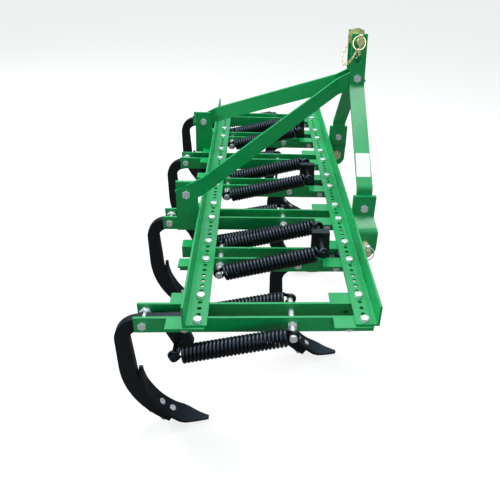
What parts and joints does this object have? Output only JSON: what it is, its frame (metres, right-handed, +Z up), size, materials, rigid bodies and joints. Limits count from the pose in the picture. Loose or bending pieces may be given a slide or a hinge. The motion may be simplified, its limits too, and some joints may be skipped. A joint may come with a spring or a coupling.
{
  "type": "spring-loaded tractor cultivator",
  "caption": "Spring-loaded tractor cultivator for a three-point hitch: green drilled angle crossbars, curved black tines with reversible points, each on its own trip pivot with paired springs.",
  "frame": {"origin": "on the ground, midway between the machine's front and rear and midway between its sides", "axes": "+X forward to the tractor, +Y to the machine's left along the crossbars, +Z up"},
  "size_m": [0.8224, 1.8472, 1.0467],
  "materials": {
    "frame_green": "glossy green enamel",
    "tine_black": "satin black paint on forged steel",
    "spring_black": "semi-gloss black coated spring wire",
    "bolt_silver": "bright zinc plating",
    "pin_yellow": "yellow passivated zinc plating"
  },
  "bodies": {
    "frame": {"crossbar_rear": "frame_green", "crossbar_front": "frame_green", "cleats_rear": "frame_green", "cleats_front": "frame_green", "carrier_1": "frame_green", "carrier_2": "frame_green", "carrier_3": "frame_green", "carrier_4": "frame_green", "carrier_5": "frame_green", "carrier_6": "frame_green", "carrier_7": "frame_green", "pivot_bolts": "bolt_silver", "anchor_rods": "bolt_silver", "brace_plate_right": "frame_green", "brace_plate_left": "frame_green", "brace_right": "frame_green", "brace_left": "frame_green", "mast_leg_right": "frame_green", "mast_leg_left": "frame_green", "hitch_bracket_right": "frame_green", "hitch_bracket_left": "frame_green", "hitch_pin_right": "pin_yellow", "hitch_pin_left": "pin_yellow", "top_link_pin": "pin_yellow", "hitch_bolts": "bolt_silver", "springs_1": "spring_black", "springs_2": "spring_black", "springs_3": "spring_black", "springs_4": "spring_black", "springs_5": "spring_black", "springs_6": "spring_black", "springs_7": "spring_black"},
    "tine_1": {"shank_1": "tine_black", "share_1": "tine_black", "lever_1": "tine_black"},
    "tine_2": {"shank_2": "tine_black", "share_2": "tine_black", "lever_2": "tine_black"},
    "tine_3": {"shank_3": "tine_black", "share_3": "tine_black", "lever_3": "tine_black"},
    "tine_4": {"shank_4": "tine_black", "share_4": "tine_black", "lever_4": "tine_black"},
    "tine_5": {"shank_5": "tine_black", "share_5": "tine_black", "lever_5": "tine_black"},
    "tine_6": {"shank_6": "tine_black", "share_6": "tine_black", "lever_6": "tine_black"},
    "tine_7": {"shank_7": "tine_black", "share_7": "tine_black", "lever_7": "tine_black"}
  },
  "joints": [
    {"name": "trip_1", "type": "hinge", "parent": "frame", "child": "tine_1", "pos_m": [-0.32275, -0.8215, 0.41969], "axis": [0, 1, 0], "range_deg": [0, 30], "stiffness_Nm_per_rad": 2800, "springref_deg": -5.16, "deforming": ["springs_1"]},
    {"name": "trip_2", "type": "hinge", "parent": "frame", "child": "tine_2", "pos_m": [0.12125, -0.53, 0.41969], "axis": [0, 1, 0], "range_deg": [0, 18], "stiffness_Nm_per_rad": 2800, "springref_deg": -5.16, "deforming": ["springs_2"]},
    {"name": "trip_3", "type": "hinge", "parent": "frame", "child": "tine_3", "pos_m": [-0.32275, -0.265, 0.41969], "axis": [0, 1, 0], "range_deg": [0, 30], "stiffness_Nm_per_rad": 2800, "springref_deg": -5.16, "deforming": ["springs_3"]},
    {"name": "trip_4", "type": "hinge", "parent": "frame", "child": "tine_4", "pos_m": [0.12125, 0, 0.41969], "axis": [0, 1, 0], "range_deg": [0, 18], "stiffness_Nm_per_rad": 2800, "springref_deg": -5.16, "deforming": ["springs_4"]},
    {"name": "trip_5", "type": "hinge", "parent": "frame", "child": "tine_5", "pos_m": [-0.32275, 0.265, 0.41969], "axis": [0, 1, 0], "range_deg": [0, 30], "stiffness_Nm_per_rad": 2800, "springref_deg": -5.16, "deforming": ["springs_5"]},
    {"name": "trip_6", "type": "hinge", "parent": "frame", "child": "tine_6", "pos_m": [0.12125, 0.53, 0.41969], "axis": [0, 1, 0], "range_deg": [0, 18], "stiffness_Nm_per_rad": 2800, "springref_deg": -5.16, "deforming": ["springs_6"]},
    {"name": "trip_7", "type": "hinge", "parent": "frame", "child": "tine_7", "pos_m": [-0.32275, 0.8215, 0.41969], "axis": [0, 1, 0], "range_deg": [0, 30], "stiffness_Nm_per_rad": 2800, "springref_deg": -5.16, "deforming": ["springs_7"]}
  ]
}
